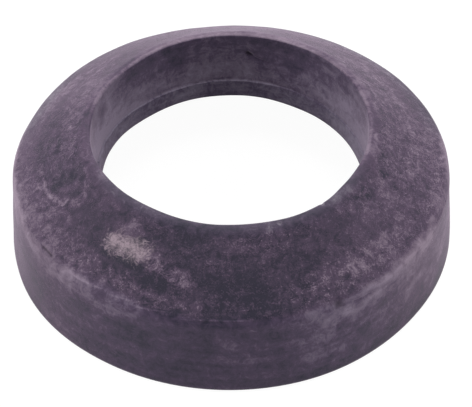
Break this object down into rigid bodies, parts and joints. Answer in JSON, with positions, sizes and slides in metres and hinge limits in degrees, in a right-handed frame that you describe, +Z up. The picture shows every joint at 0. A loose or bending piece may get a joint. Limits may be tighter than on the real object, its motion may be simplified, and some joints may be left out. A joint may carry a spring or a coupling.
{
  "type": "tank to bowl gasket",
  "caption": "Moulded rubber ring with a conical top, a bore with a fine ledge, and a wide recess below for a nut; it seals a toilet tank to its bowl.",
  "frame": {"origin": "centre of the base rim, on the plane that the ring stands on", "axes": "+Z up along the ring's axis, from the base rim to the crest of the cone; +X and +Y are any two square directions across the ring"},
  "size_m": [0.0898, 0.0898, 0.0275],
  "materials": {
    "rubber": "matt moulded rubber, dark purple grey, with a pale mottled bloom"
  },
  "bodies": {
    "root": {"gasket_ring": "rubber"}
  },
  "joints": []
}
